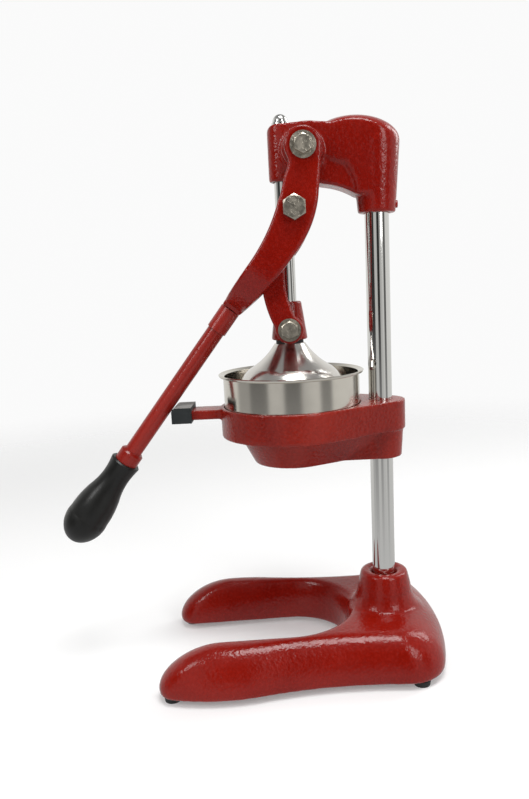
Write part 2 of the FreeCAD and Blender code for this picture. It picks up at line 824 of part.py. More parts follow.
web = loop_sketch(
    head,
    "YZ",
    [
        ("block_rear - block_step", "web_front_z + 2"),
        ("block_rear", "web_front_z"),
        ("arch_foot_y", "web_rear_z", "web_sweep", "right"),
        ("web_end_y", "web_rear_z"),
        ("web_end_y", "arch_top_z + block_step"),
        ("block_rear - block_step", "arch_top_z + block_step"),
    ],
)
extrude(head, web, "2 * web_half_width", both=True)
sleeve = loop_sketch(
    head,
    "XZ",
    [
        ("0", "sleeve_bottom"),
        ("sleeve_bottom_radius", "sleeve_bottom"),
        ("sleeve_top_radius", "sleeve_top"),
        ("0", "sleeve_top"),
    ],
)
revolve(head, sleeve)
side_boss = circle_sketch(head, "YZ", [("pivot_y", "pivot_z", "side_boss_radius")])
extrude(head, side_boss, "2 * side_boss_x", both=True)
rod_bore = circle_sketch(head, "XY", [("0", "rod_y", "rod_radius + running_gap")], "head_bottom - 1")
extrude(head, rod_bore, "cut_reach", "Pocket", back=True)
column_bore = circle_sketch(head, "XY", [("0", "0", "column_radius")], "sleeve_bottom")
extrude(head, column_bore, "column_top - sleeve_bottom", "Pocket", back=True)
pivot_bore = circle_sketch(head, "YZ", [("pivot_y", "pivot_z", "pivot_bolt_radius")])
extrude(head, pivot_bore, "cut_reach", "Pocket", both=True)
screw_bore = circle_sketch(head, "XZ", [("0", "head_screw_z", "set_screw_radius")], "-column_radius + 1")
extrude(head, screw_bore, "2 * sleeve_top_radius", "Pocket")
for label, screw_z, end in (
    ("head_set_screw", "head_screw_z", "head_screw_end"),
    ("arm_set_screw", "arm_screw_z", "arm_screw_end"),
):
    screw = new_body(label, "0", screw_z)
    stem = circle_sketch(screw, "XZ", [("0", "0", "set_screw_radius")], f"-{end}")
    extrude(screw, stem, f"{end} - column_radius")
    socket = circle_sketch(screw, "XZ", [("0", "0", "set_screw_socket")], f"-{end}")
    extrude(screw, socket, "set_screw_socket_depth", "Pocket", back=True)


# ---------------------------------------------------------------- lever

# In the lever's own frame the pivot is the origin and the stem hangs straight down.
PIN_Y = "((pin_y - pivot_y) * cos(stem_angle) - (pin_z - pivot_z) * sin(stem_angle))"
PIN_Z = "((pin_y - pivot_y) * sin(stem_angle) + (pin_z - pivot_z) * cos(stem_angle))"


def lever_body(label):
    return new_body(label, "pivot_y", "pivot_z", "-stem_angle")


def stem_piece(label, corners):
    """A round piece of the stem, from (radius, height) corners about the stem's axis."""
    axis_y = "pivot_y + stem_y * cos(stem_angle)"
    axis_z = "pivot_z - stem_y * sin(stem_angle)"
    turned(label, corners, axis_y, axis_z, "-stem_angle")


yoke = lever_body("lever_yoke")
profile = loop_sketch(
    yoke,
    "YZ",
    [
        ("-eye_radius * cos(30)", "-eye_radius * sin(30)"),
        ("neck_front_y", "neck_front_z", "neck_front_radius", "right"),
        (f"{PIN_Y} - pin_boss_radius", f"{PIN_Z}"),
        (f"{PIN_Y} - below_pin_y", f"{PIN_Z} - below_pin_z"),
        ("fork_front_y", "fork_front_z", "fork_front_radius", "right"),
        ("stem_y - stem_radius", "yoke_end"),
        ("stem_y + stem_rear_radius", "yoke_end"),
        ("fork_rear_y", "fork_rear_z", "fork_rear_radius", "left"),
        ("neck_rear_y", "neck_rear_z", "neck_rear_radius", "left"),
        ("eye_radius * cos(30)", "eye_radius * sin(30)"),
    ],
)
extrude(yoke, profile, "2 * arm_outer_x", both=True)
eyes = circle_sketch(yoke, "YZ", [("0", "0", "eye_radius")])
extrude(yoke, eyes, "2 * arm_outer_x", both=True)
pin_eye = circle_sketch(yoke, "YZ", [(PIN_Y, PIN_Z, "pin_boss_radius")])
extrude(yoke, pin_eye, "2 * arm_outer_x", both=True)
fork = loop_sketch(
    yoke,
    "XZ",
    [
        ("-arm_inner_x", "eye_radius + 1"),
        ("-arm_inner_x", "fork_floor + fork_corner"),
        ("-arm_inner_x + fork_corner", "fork_floor", "fork_corner", "left"),
        ("arm_inner_x - fork_corner", "fork_floor"),
        ("arm_inner_x", "fork_floor + fork_corner", "fork_corner", "left"),
        ("arm_inner_x", "eye_radius + 1"),
    ],
)
extrude(yoke, fork, "cut_reach", "Pocket", both=True)
for side, turn in (("-", "left"), ("", "right")):
    shoulder = loop_sketch(
        yoke,
        "XZ",
        [
            (f"{side}(arm_outer_x + 1)", "shoulder_top"),
            (f"{side}arm_outer_x", "shoulder_top"),
            (f"{side}stem_radius", "yoke_end + yoke_neck", "shoulder_radius", turn),
            (f"{side}stem_radius", "yoke_end - 1"),
            (f"{side}(arm_outer_x + 1)", "yoke_end - 1"),
        ],
    )
    extrude(yoke, shoulder, "cut_reach", "Pocket", both=True)
pivot_hole = circle_sketch(yoke, "YZ", [("0", "0", "pivot_bolt_radius + running_gap")])
extrude(yoke, pivot_hole, "cut_reach", "Pocket", both=True)
pin_hole = circle_sketch(yoke, "YZ", [(PIN_Y, PIN_Z, "pin_bolt_radius")])
extrude(yoke, pin_hole, "cut_reach", "Pocket", both=True)
stem_hole = circle_sketch(yoke, "XY", [("0", "stem_y", "spigot_radius")], "yoke_end - 1")
extrude(yoke, stem_hole, "tube_start - yoke_end + 1", "Pocket", back=True)
stem_piece(
    "lever_sleeve",
    [
        ("tube_radius", "sleeve_end"),
        ("lever_sleeve_radius - sleeve_lip", "sleeve_end"),
        ("lever_sleeve_radius", "sleeve_end + sleeve_lip"),
        ("lever_sleeve_radius", "yoke_end"),
        ("tube_radius", "yoke_end"),
    ],
)
stem_piece(
    "lever_tube",
    [
        ("tube_inner_radius", "tube_end"),
        ("tube_radius", "tube_end"),
        ("tube_radius", "yoke_end"),
        ("spigot_radius", "yoke_end"),
        ("spigot_radius", "tube_start"),
        ("tube_inner_radius", "tube_start"),
    ],
)
stem_piece(
    "grip_ferrule",
    [
        ("tube_radius", "grip_start"),
        ("ferrule_radius", "grip_start"),
        ("ferrule_radius", "ferrule_start - ferrule_chamfer"),
        ("ferrule_radius - ferrule_chamfer", "ferrule_start"),
        ("tube_radius", "ferrule_start"),
    ],
)
NOSE_Z = "grip_end + grip_nose * (1 - sqrt(1 - nose_share^2))"
stem_piece(
    "grip",
    [
        ("tube_radius", "grip_start"),
        ("tube_radius", "tube_end"),
        ("0", "tube_end"),
        ("0", "grip_end"),
        ("grip_nose * nose_share", NOSE_Z, "grip_nose", "left"),
        ("grip_belly", "grip_end + grip_belly_height", "grip_belly_sweep", "left"),
        ("grip_neck", "grip_start - grip_neck_depth", "grip_neck_sweep", "left"),
        ("grip_throat", "grip_start - grip_throat_depth", "grip_throat_sweep", "right"),
        ("grip_collar", "grip_start - grip_collar_edge"),
        ("grip_collar - grip_collar_edge", "grip_start"),
    ],
)


# ---------------------------------------------------------------- links

LINK_LENGTH = "sqrt((pin_y - rod_y)^2 + (pin_z - block_pin_z)^2)"
LINK_TILT = "atan((pin_y - rod_y) / (pin_z - block_pin_z))"
BOW_RADIUS = f"(({LINK_LENGTH})^2 / 4 + link_bow^2) / (2 * link_bow)"
HALF_CHORD = f"({LINK_LENGTH}) / 2"


def link(label, side):
    """A bowed flat bar from the lever's pin down to the block's pin."""
    body = new_body(label, "pin_y", "pin_z", f"-({LINK_TILT})")
    middle = f"{side} * (link_inner_x + link_thickness / 2)"
    spread_y = f"link_half_width * ({BOW_RADIUS} - link_bow) / ({BOW_RADIUS})"
    spread_z = f"link_half_width * ({HALF_CHORD}) / ({BOW_RADIUS})"
    bar = loop_sketch(
        body,
        "YZ",
        [
            (f"-({spread_y})", spread_z),
            (f"-({spread_y})", f"-({LINK_LENGTH}) - {spread_z}", f"{BOW_RADIUS} + link_half_width", "left"),
            (spread_y, f"-({LINK_LENGTH}) + {spread_z}"),
            (spread_y, f"-({spread_z})", f"{BOW_RADIUS} - link_half_width", "right"),
        ],
        middle,
    )
    extrude(body, bar, "link_thickness", both=True)
    for eye_z, eye in (("0", "link_top_eye"), (f"-({LINK_LENGTH})", "link_low_eye")):
        extrude(body, circle_sketch(body, "YZ", [("0", eye_z, eye)], middle), "link_thickness", both=True)
    top_hole = circle_sketch(body, "YZ", [("0", "0", "pin_bolt_radius + running_gap")], middle)
    extrude(body, top_hole, "link_thickness", "Pocket", both=True)
    low_hole = circle_sketch(body, "YZ", [("0", f"-({LINK_LENGTH})", "pivot_bolt_radius")], middle)
    extrude(body, low_hole, "link_thickness", "Pocket", both=True)


link("link_right", 1)
link("link_left", -1)


# ---------------------------------------------------------------- plunger

block = new_body("plunger_block", "rod_y")
taper = loop_sketch(
    block,
    "XZ",
    [
        ("0", "block_bottom"),
        ("block_bottom_radius - block_edge", "block_bottom"),
        ("block_bottom_radius", "block_bottom + block_edge", "block_edge", "left"),
        ("block_top_radius", "block_top - 1"),
        ("block_top_radius - 1", "block_top"),
        ("0", "block_top"),
    ],
)
revolve(block, taper)
ears = circle_sketch(block, "YZ", [("0", "block_pin_z", "block_ear_radius")])
extrude(block, ears, "2 * block_ear_x", both=True)
socket = circle_sketch(block, "XY", [("0", "0", "rod_radius")], "rod_bottom")
extrude(block, socket, "block_top - rod_bottom + 1", "Pocket", back=True)
stud_hole = circle_sketch(block, "XY", [("0", "0", "cone_bolt_radius")], "block_bottom - 1")
extrude(block, stud_hole, "rod_bottom - block_bottom + 2", "Pocket", back=True)

turned(
    "plunger_rod",
    [
        ("cone_bolt_radius", "rod_bottom"),
        ("rod_radius", "rod_bottom"),
        ("rod_radius", "rod_top - rod_radius"),
        ("rod_dome", "rod_top - rod_dome"),
        ("0", "rod_top", "rod_dome", "left"),
        ("0", "cone_bolt_top"),
        ("cone_bolt_radius", "cone_bolt_top"),
    ],
    "rod_y",
)
turned(
    "cone_gasket",
    [
        ("cone_bolt_radius", "cone_top"),
        ("gasket_radius", "cone_top"),
        ("gasket_radius", "block_bottom"),
        ("cone_bolt_radius", "block_bottom"),
    ],
    "rod_y",
)
turned(
    "press_cone",
    [
        ("cone_bolt_radius", "cone_top"),
        ("cone_bolt_radius", "cone_top - cone_thickness"),
        ("cone_neck_radius - cone_thickness / 2", "cone_top - cone_thickness"),
        (
            "cone_slope_radius - cone_thickness * cos(45)",
            "cone_slope_z - cone_thickness * cos(45)",
            "cone_slope_sweep",
            "left",
        ),
        ("cone_skirt_radius - cone_thickness", "cone_skirt_z", "cone_skirt_sweep", "right"),
        ("cone_rim_radius - cone_thickness", "cone_rim_z"),
        ("cone_rim_radius", "cone_rim_z"),
        ("cone_skirt_radius", "cone_skirt_z"),
        ("cone_slope_radius", "cone_slope_z", "cone_skirt_sweep", "left"),
        ("cone_neck_radius", "cone_top", "cone_slope_sweep", "right"),
    ],
    "rod_y",
)
cone_bolt = new_body("cone_bolt", "rod_y", "cone_top - cone_thickness - cone_washer_thickness")
add_hexagon(cone_bolt, "small_hex", "-small_head", "small_head")
stud = circle_sketch(cone_bolt, "XY", [("0", "0", "cone_bolt_radius")])
extrude(cone_bolt, stud, "cone_bolt_top - cone_top + cone_thickness + cone_washer_thickness - thread_spare")
turned(
    "cone_washer",
    [
        ("cone_bolt_radius", "cone_top - cone_thickness - cone_washer_thickness"),
        ("cone_washer_radius", "cone_top - cone_thickness - cone_washer_thickness"),
        ("cone_washer_radius", "cone_top - cone_thickness"),
        ("cone_bolt_radius", "cone_top - cone_thickness"),
    ],
    "rod_y",
)


# ---------------------------------------------------------------- cup, strainer and cast arm

turned(
    "juice_cup",
    [
        ("cup_radius - cup_wall", "cup_rim_z - cup_lip"),
        ("cup_radius - cup_wall", "cup_floor_z + cup_corner"),
        ("cup_radius - cup_wall - cup_corner", "cup_floor_z", "cup_corner", "right"),
        ("cup_drain_radius", "cup_floor_z"),
        ("cup_throat_radius", "cup_throat_z"),
        ("cup_throat_radius - 1", "cup_spout_z"),
        ("cup_throat_radius + cup_wall - 1", "cup_spout_z"),
        ("cup_throat_radius + cup_wall", "cup_throat_z - cup_wall / 2"),
        ("cup_drain_radius + cup_wall / 2", "cup_floor_z - cup_wall"),
        ("cup_radius - cup_corner", "cup_floor_z - cup_wall"),
        ("cup_radius", "cup_floor_z + cup_corner - cup_wall", "cup_corner", "left"),
        ("cup_radius", "cup_rim_z - cup_lip - cup_wall"),
        ("cup_rim_radius - cup_wall / 2", "cup_rim_z - cup_lip", "cup_lip_sweep", "right"),
        ("cup_rim_radius", "cup_rim_z - cup_wall / 2"),
        ("cup_rim_radius - cup_wall", "cup_rim_z"),
    ],
    "rod_y",
)
turned(
    "strainer",
    [
        ("strainer_radius", "cup_floor_z"),
        ("strainer_radius", "cup_floor_z + strainer_wall"),
        ("strainer_heel_radius", "cup_floor_z + strainer_wall"),
        ("strainer_slope_radius", "strainer_slope_z", "strainer_heel_sweep", "right"),
        (
            "strainer_cap * strainer_cap_share",
            "strainer_top - strainer_cap * (1 - sqrt(1 - strainer_cap_share^2))",
        ),
        ("0", "strainer_top", "strainer_cap", "left"),
        ("0", "strainer_top - strainer_wall"),
        (
            "(strainer_cap - strainer_wall) * strainer_cap_share",
            "strainer_top - strainer_cap + (strainer_cap - strainer_wall) * sqrt(1 - strainer_cap_share^2)",
            "strainer_cap - strainer_wall",
            "right",
        ),
        ("strainer_slope_radius - strainer_wall", "strainer_slope_z - strainer_wall / 2"),
        ("strainer_heel_radius", "cup_floor_z", "strainer_heel_sweep + strainer_wall", "left"),
    ],
    "rod_y",
)


arm = new_body("arm_casting")
ring_plate = loop_sketch(arm, "XY", hull("ring_radius", "rod_y", "rear_boss_radius", "0"), "ring_bottom")
extrude(arm, ring_plate, "ring_top - ring_bottom")
funnel_foot = hull("funnel_bottom_radius", "rod_y", "funnel_foot_radius", "rod_y + funnel_foot_y")
funnel_head = hull("funnel_top_radius", "rod_y", "funnel_head_radius", "funnel_head_y")
loft(
    arm,
    [
        loop_sketch(arm, "XY", funnel_foot, "arm_bottom"),
        loop_sketch(arm, "XY", funnel_head, "ring_bottom + 1"),
    ],
)
rear_boss = loop_sketch(
    arm,
    "XZ",
    [
        ("0", "arm_bottom"),
        ("rear_boss_foot_radius", "arm_bottom"),
        ("rear_boss_radius", "ring_top"),
        ("0", "ring_top"),
    ],
)
revolve(arm, rear_boss)
web = loop_sketch(
    arm,
    "XY",
    [
        ("-arm_web_half_width", "rod_y + funnel_foot_y"),
        ("arm_web_half_width", "rod_y + funnel_foot_y"),
        ("arm_web_half_width", "0"),
        ("-arm_web_half_width", "0"),
    ],
    "arm_bottom",
)
extrude(arm, web, "ring_bottom - arm_bottom + 1")
tongue = loop_sketch(
    arm,
    "XY",
    [
        ("-tongue_half_width", "tongue_front"),
        ("tongue_half_width", "tongue_front"),
        ("tongue_half_width", "rod_y - ring_bore - 1"),
        ("-tongue_half_width", "rod_y - ring_bore - 1"),
    ],
    "tongue_bottom",
)
extrude(arm, tongue, "tongue_top - tongue_bottom")
funnel_bore = loop_sketch(
    arm,
    "XZ",
    [
        ("0", "ring_top + 1"),
        ("ring_bore", "ring_top + 1"),
        ("ring_bore", "ledge_z"),
        ("ledge_radius", "ledge_z"),
        ("funnel_bore_top", "ring_bottom"),
        ("funnel_bore_bottom", "arm_bottom - 1"),
        ("0", "arm_bottom - 1"),
    ],
    "-rod_y",
)
revolve(arm, funnel_bore, "Groove")
column_bore = circle_sketch(arm, "XY", [("0", "0", "column_radius")], "arm_bottom - 1")
extrude(arm, column_bore, "ring_top - arm_bottom + 2", "Pocket", back=True)
screw_bore = circle_sketch(arm, "XZ", [("0", "arm_screw_z", "set_screw_radius")], "-column_radius + 1")
extrude(arm, screw_bore, "2 * rear_boss_radius", "Pocket")

stop = new_body("stop_pad")
cap = loop_sketch(
    stop,
    "YZ",
    [
        ("stop_front", "stop_bottom"),
        ("stop_rear", "stop_bottom"),
        ("stop_rear", "stop_top"),
        ("stop_front + stop_corner", "stop_top"),
        ("stop_front", "stop_top - stop_corner", "stop_corner", "left"),
    ],
)
extrude(stop, cap, "2 * stop_half_width", both=True)
slot = loop_sketch(
    stop,
    "XZ",
    [
        ("-tongue_half_width", "tongue_bottom"),
        ("tongue_half_width", "tongue_bottom"),
        ("tongue_half_width", "tongue_top"),
        ("-tongue_half_width", "tongue_top"),
    ],
    "-stop_rear",
)
extrude(stop, slot, "stop_rear - tongue_front", "Pocket", back=True)


# ---------------------------------------------------------------- pivot fasteners

OUTER = "(arm_outer_x + side_gap)"
bolt(
    "pivot_bolt",
    "pivot_bolt_radius",
    "small_hex",
    "small_head",
    f"2 * {OUTER} + 2 * washer_thickness + small_nut + thread_spare",
    "pivot_y",
    "pivot_z",
    1,
    f"{OUTER} + washer_thickness",
)
washers = []
for side, word in ((1, "right"), (-1, "left")):
    name = f"pivot_washer_{word}"
    washers.append(washer(name, "pivot_bolt_radius", "washer_radius", "pivot_y", "pivot_z", side, OUTER))
group("pivot_washers", washers)
nut(
    "pivot_nut",
    "pivot_bolt_radius",
    "small_hex",
    "small_nut",
    "pivot_y",
    "pivot_z",
    -1,
    f"{OUTER} + washer_thickness",
)

pin_parts, pin_nut_parts, block_parts, block_rings = [], [], [], []
LINK_OUTER = "(link_inner_x + link_thickness)"
for side, word in ((1, "right"), (-1, "left")):
    pin_parts.append(
        bolt(
            f"pin_bolt_{word}",
            "pin_bolt_radius",
            "large_hex",
            "large_head",
            "arm_outer_x - link_inner_x + thin_nut + bolt_point",
            "pin_y",
            "pin_z",
            side,
            "arm_outer_x",
        )
    )
    pin_nut_parts.append(
        nut(
            f"pin_nut_{word}",
            "pin_bolt_radius",
            "large_hex",
            "thin_nut",
            "pin_y",
            "pin_z",
            -side,
            "-(link_inner_x - side_gap)",
        )
    )
    block_parts.append(
        bolt(
            f"block_bolt_{word}",
            "pivot_bolt_radius",
            "small_hex",
            "small_head",
            "link_thickness + washer_thickness - side_gap",
            "rod_y",
            "block_pin_z",
            side,
            f"{LINK_OUTER} + washer_thickness",
        )
    )
    block_rings.append(
        washer(
            f"block_washer_{word}",
            "pivot_bolt_radius",
            "low_washer_radius",
            "rod_y",
            "block_pin_z",
            side,
            LINK_OUTER,
        )
    )
group("pin_bolts", pin_parts)
group("pin_nuts", pin_nut_parts)
group("block_bolts", block_parts)
group("block_washers", block_rings)


# ---------------------------------------------------------------- check and export

doc.recompute()
for item in doc.Objects:
    if "Invalid" in item.State or "Error" in item.State:
        raise RuntimeError(f"{item.Label} failed: {item.State}")

groups = [item for item in doc.Objects if item.TypeId == "Part::Compound"]
members = [member for item in groups for member in item.Links]
bodies = [item for item in doc.Objects if item.TypeId == "PartDesign::Body" and item not in members]
os.makedirs("parts", exist_ok=True)
for item in bodies + groups:
    if item.Shape.isNull() or not item.Shape.isValid():
        raise RuntimeError(f"{item.Label} has no valid shape")
for item in bodies + groups:
    item.Shape.exportStep(f"parts/{item.Label}.step")
print(len(bodies + groups), "nodes")
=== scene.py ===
"""Looks of the hand lever juice press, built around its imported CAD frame.

Castings get soft, sand-cast edges and thick glossy enamel. Turned and ground pieces stay as they are
and get broken edges. The strainer gets its holes. Everything is in metres, in the CAD frame.
"""

import json
import math

import bmesh
import bpy
from mathutils import Matrix, Vector

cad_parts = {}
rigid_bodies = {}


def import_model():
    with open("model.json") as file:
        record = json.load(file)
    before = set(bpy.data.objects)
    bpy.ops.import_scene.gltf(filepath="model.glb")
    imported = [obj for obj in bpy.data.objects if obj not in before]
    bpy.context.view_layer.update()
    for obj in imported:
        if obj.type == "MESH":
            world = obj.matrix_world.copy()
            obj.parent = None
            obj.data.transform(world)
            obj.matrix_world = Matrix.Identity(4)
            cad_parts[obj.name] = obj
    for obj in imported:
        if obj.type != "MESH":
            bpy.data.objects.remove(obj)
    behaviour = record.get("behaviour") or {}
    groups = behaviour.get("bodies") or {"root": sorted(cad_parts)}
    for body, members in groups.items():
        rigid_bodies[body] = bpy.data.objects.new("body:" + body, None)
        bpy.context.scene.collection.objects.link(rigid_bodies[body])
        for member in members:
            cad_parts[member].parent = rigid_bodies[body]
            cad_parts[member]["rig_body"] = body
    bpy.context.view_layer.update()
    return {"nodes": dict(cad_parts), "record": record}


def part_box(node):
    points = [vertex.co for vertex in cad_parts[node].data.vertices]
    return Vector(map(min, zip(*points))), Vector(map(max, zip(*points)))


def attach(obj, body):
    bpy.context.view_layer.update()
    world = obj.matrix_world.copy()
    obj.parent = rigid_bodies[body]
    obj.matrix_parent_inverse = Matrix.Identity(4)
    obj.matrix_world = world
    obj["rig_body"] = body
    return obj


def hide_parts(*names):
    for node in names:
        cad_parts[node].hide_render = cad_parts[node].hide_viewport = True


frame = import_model()

MM = 0.001
WELD_GAP = 0.002 * MM
EDGE_BREAK = 0.35 * MM


# ---------------------------------------------------------------- places taken from the frame

def middle(node):
    """The centre of a CAD node's box."""
    low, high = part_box(node)
    return (low + high) / 2


COLUMN = middle("column")


# ---------------------------------------------------------------- materials

class Shader:
    """A material's node tree with short calls to add and join nodes."""

    def __init__(self, name, **sockets):
        self.material = bpy.data.materials.new(name)
        self.material.use_nodes = True
        self.tree = self.material.node_tree
        self.surface = self.tree.nodes["Principled BSDF"]
        for socket, value in sockets.items():
            self.surface.inputs[socket.replace("_", " ")].default_value = value
        self.place = self.add("ShaderNodeTexCoord").outputs["Object"]

    def add(self, kind, **values):
        """A node; names with a capital letter set its sockets, the others its properties."""
        node = self.tree.nodes.new(kind)
        for key, value in values.items():
            if key[0].isupper():
                node.inputs[key.replace("_", " ")].default_value = value
            else:
                setattr(node, key, value)
        return node

    def join(self, source, node, socket):
        self.tree.links.new(source, node.inputs[socket])

    def noise(self, size, detail=2.0, roughness=0.5, stretch=None):
        """Noise whose lumps are about `size` metres across, stretched if asked."""
        node = self.add("ShaderNodeTexNoise", Scale=0.5 / size, Detail=detail, Roughness=roughness)
        place = self.place
        if stretch is not None:
            mapping = self.add("ShaderNodeMapping", Scale=stretch)
            self.join(place, mapping, "Vector")
            place = mapping.outputs["Vector"]
        self.join(place, node, "Vector")
        return node.outputs["Fac"]

    def ramp(self, source, stops):
        """A colour or grey ramp over (position, colour) stops."""
        node = self.add("ShaderNodeValToRGB")
        elements = node.color_ramp.elements
        while len(elements) < len(stops):
            elements.new(0.5)
        for element, (position, colour) in zip(elements, stops):
            element.position = position
            element.color = (*colour, 1.0) if hasattr(colour, "__len__") else (colour, colour, colour, 1.0)
        self.join(source, node, "Fac")
        return node.outputs["Color"]

    def mix(self, share, first, second):
        """Colour `first` where share is 0 and `second` where it is 1."""
        node = self.add("ShaderNodeMix", data_type="RGBA")
        self.join(share, node, "Factor")
        for socket, colour in ((6, first), (7, second)):
            if isinstance(colour, bpy.types.NodeSocket):
                self.tree.links.new(colour, node.inputs[socket])
            else:
                node.inputs[socket].default_value = (*colour, 1.0)
        return node.outputs[2]

    def bump(self, source, depth, strength=1.0, below=None):
        """Relief of `depth` metres; `below` is the normal it lies on."""
        node = self.add("ShaderNodeBump", Strength=strength, Distance=depth)
        self.join(source, node, "Height")
        if below is not None:
            self.join(below, node, "Normal")
        return node.outputs["Normal"]

    def colour(self, source):
        self.join(source, self.surface, "Base Color")

    def rough(self, source):
        self.join(source, self.surface, "Roughness")

    def normal(self, source, coat=False):
        self.join(source, self.surface, "Normal")
        if coat:
            self.join(source, self.surface, "Coat Normal")


def enamel(name, deep, bright, peel, peel_depth, rough, grain_depth):
    """Thick gloss enamel over a casting: orange peel, finer sand grain, and edges painted lighter, partly
    for thinner paint and partly as a painted highlight.
    """
    cloud_size, speckle_size, gloss_size, grain_size = 35 * MM, 1.1 * MM, 9 * MM, 0.9 * MM
    shader = Shader(name, Specular_IOR_Level=0.2, Coat_Weight=0.24, Coat_Roughness=0.1, IOR=1.5)
    cloud = shader.noise(cloud_size, detail=3.0)
    body = shader.mix(shader.ramp(cloud, [(0.3, 0.0), (0.7, 1.0)]), deep, bright)
    speckle = shader.ramp(shader.noise(speckle_size, detail=2.0), [(0.45, 0.0), (0.7, 0.22)])
    body = shader.mix(speckle, body, tuple(min(1.0, 1.5 * part + 0.01) for part in bright))
    edge = shader.add("ShaderNodeNewGeometry").outputs["Pointiness"]
    # Edges are painted lighter: partly thinner paint, partly a painted highlight where the edges catch the
    # light.
    edge_highlight_and_thin_paint = shader.ramp(edge, [(0.53, 0.0), (0.62, 0.4)])
    body = shader.mix(edge_highlight_and_thin_paint, body, tuple(min(1.0, 1.6 * part + 0.02) for part in bright))
    shader.colour(body)
    gloss = shader.noise(gloss_size)
    shader.rough(shader.ramp(gloss, [(0.3, rough - 0.05), (0.7, rough + 0.08)]))
    grain = shader.bump(shader.noise(grain_size, detail=3.0), grain_depth)
    shader.normal(shader.bump(shader.noise(peel, detail=1.5), peel_depth, below=grain), coat=True)
    return shader.material


def plated(name, tint, rough, streak=None, mottle=0.0, pits=0.0):
    """Bare or plated metal: faint machining streaks, cloudy reflection and small pits."""
    cloud_size, pit_size = 6 * MM, 1.4 * MM
    shader = Shader(name, Metallic=1.0)
    if streak:
        lines, relief = shader.noise(1.2 * MM, detail=3.0, stretch=streak), 0.006 * MM
    else:
        lines, relief = shader.noise(2.5 * MM, detail=4.0), 0.012 * MM
    dull = tuple(part * (1.0 - mottle) for part in tint)
    cloud = shader.ramp(shader.noise(cloud_size, detail=3.0), [(0.35, 0.0), (0.7, 1.0)])
    shader.colour(shader.mix(cloud, tint, dull))
    shader.rough(shader.ramp(lines, [(0.3, rough * 0.8), (0.7, rough * 1.3 + 0.01)]))
    normal = shader.bump(lines, relief, strength=0.6)
    if pits:
        hollow = shader.ramp(shader.noise(pit_size, detail=2.0), [(0.34, 0.0), (0.44, 1.0)])
        normal = shader.bump(hollow, pits, below=normal)
    shader.normal(normal)
    return shader.material


def polymer(name, colour, worn, rough, grain, depth, upward_grey=None):
    """Plastic, rubber or blackened steel: fine grain, greyer where it is rubbed, and a lighter grey on
    faces that point up.
    """
    rub_size, gloss_size = 14 * MM, 5 * MM
    shader = Shader(name, IOR=1.46, Specular_IOR_Level=0.35)
    rub = shader.ramp(shader.noise(rub_size, detail=4.0), [(0.45, 0.0), (0.75, 1.0)])
    body = shader.mix(rub, colour, worn)
    if upward_grey:
        # Faces that point up are mixed towards a lighter grey.
        facing = shader.add("ShaderNodeSeparateXYZ")
        shader.join(shader.add("ShaderNodeTexCoord").outputs["Normal"], facing, "Vector")
        body = shader.mix(shader.ramp(facing.outputs["Z"], [(0.7, 0.0), (0.95, 1.0)]), body, upward_grey)
    shader.colour(body)
    gloss = shader.noise(gloss_size, detail=3.0)
    shader.rough(shader.ramp(gloss, [(0.3, rough - 0.07), (0.7, rough + 0.07)]))
    shader.normal(shader.bump(shader.noise(grain, detail=2.0), depth))
    return shader.material


AROUND_Z = (1.0, 1.0, 40.0)
ALONG_Z = (1.0, 1.0, 0.03)

ENAMELS = {
    "red_enamel": dict(
        deep=(0.165, 0.0035, 0.0012), bright=(0.235, 0.0065, 0.002), rough=0.2,
        peel=1.5 * MM, peel_depth=0.34 * MM, grain_depth=0.12 * MM),
    "red_hammered": dict(
        deep=(0.135, 0.004, 0.0018), bright=(0.24, 0.012, 0.005), rough=0.26,
        peel=1.2 * MM, peel_depth=0.4 * MM, grain_depth=0.14 * MM),
    "red_tube": dict(
        deep=(0.155, 0.004, 0.0016), bright=(0.215, 0.0075, 0.0025), rough=0.28,
        peel=1.6 * MM, peel_depth=0.2 * MM, grain_depth=0.05 * MM),
}
METALS = {
    "chrome_bar": dict(tint=(0.7, 0.695, 0.675), rough=0.07, streak=ALONG_Z),
    "stainless_steel": dict(tint=(0.66, 0.625, 0.56), rough=0.15, streak=AROUND_Z, mottle=0.05),
    "polished_steel": dict(tint=(0.72, 0.69, 0.65), rough=0.17, streak=AROUND_Z, mottle=0.03),
    "nickel_steel": dict(tint=(0.46, 0.42, 0.35), rough=0.36, mottle=0.42, pits=0.09 * MM),
    "zinc_steel": dict(tint=(0.62, 0.62, 0.60), rough=0.26, mottle=0.2),
}
POLYMERS = {
    "black_steel": dict(
        colour=(0.02, 0.02, 0.02), worn=(0.05, 0.05, 0.05), rough=0.35, grain=0.8 * MM, depth=0.02 * MM),
    "grip_plastic": dict(
        colour=(0.008, 0.008, 0.0075), worn=(0.013, 0.013, 0.012), rough=0.34,
        grain=0.5 * MM, depth=0.02 * MM),
    "stop_rubber": dict(
        colour=(0.012, 0.015, 0.016), worn=(0.022, 0.026, 0.027), rough=0.55,
        grain=0.6 * MM, depth=0.04 * MM, upward_grey=(0.2, 0.2, 0.19)),
    "foot_rubber": dict(
        colour=(0.014, 0.014, 0.014), worn=(0.03, 0.03, 0.03), rough=0.65, grain=0.6 * MM, depth=0.04 * MM),
}

MATERIALS = {}
for build, looks in ((enamel, ENAMELS), (plated, METALS), (polymer, POLYMERS)):
    for name, look in looks.items():
        MATERIALS[name] = build(name, **look)


def paint(piece, slot):
    """Gives a piece its one material and its slot of the record."""
    piece.data.materials.clear()
    piece.data.materials.append(MATERIALS[slot])
    for face in piece.data.polygons:
        face.material_index = 0


# ---------------------------------------------------------------- mesh helpers

def finished_mesh(piece):
    """Applies the piece's modifiers to its mesh."""
    bpy.context.view_layer.update()
    mesh = bpy.data.meshes.new_from_object(piece.evaluated_get(bpy.context.evaluated_depsgraph_get()))
    piece.modifiers.clear()
    piece.data = mesh
    return piece


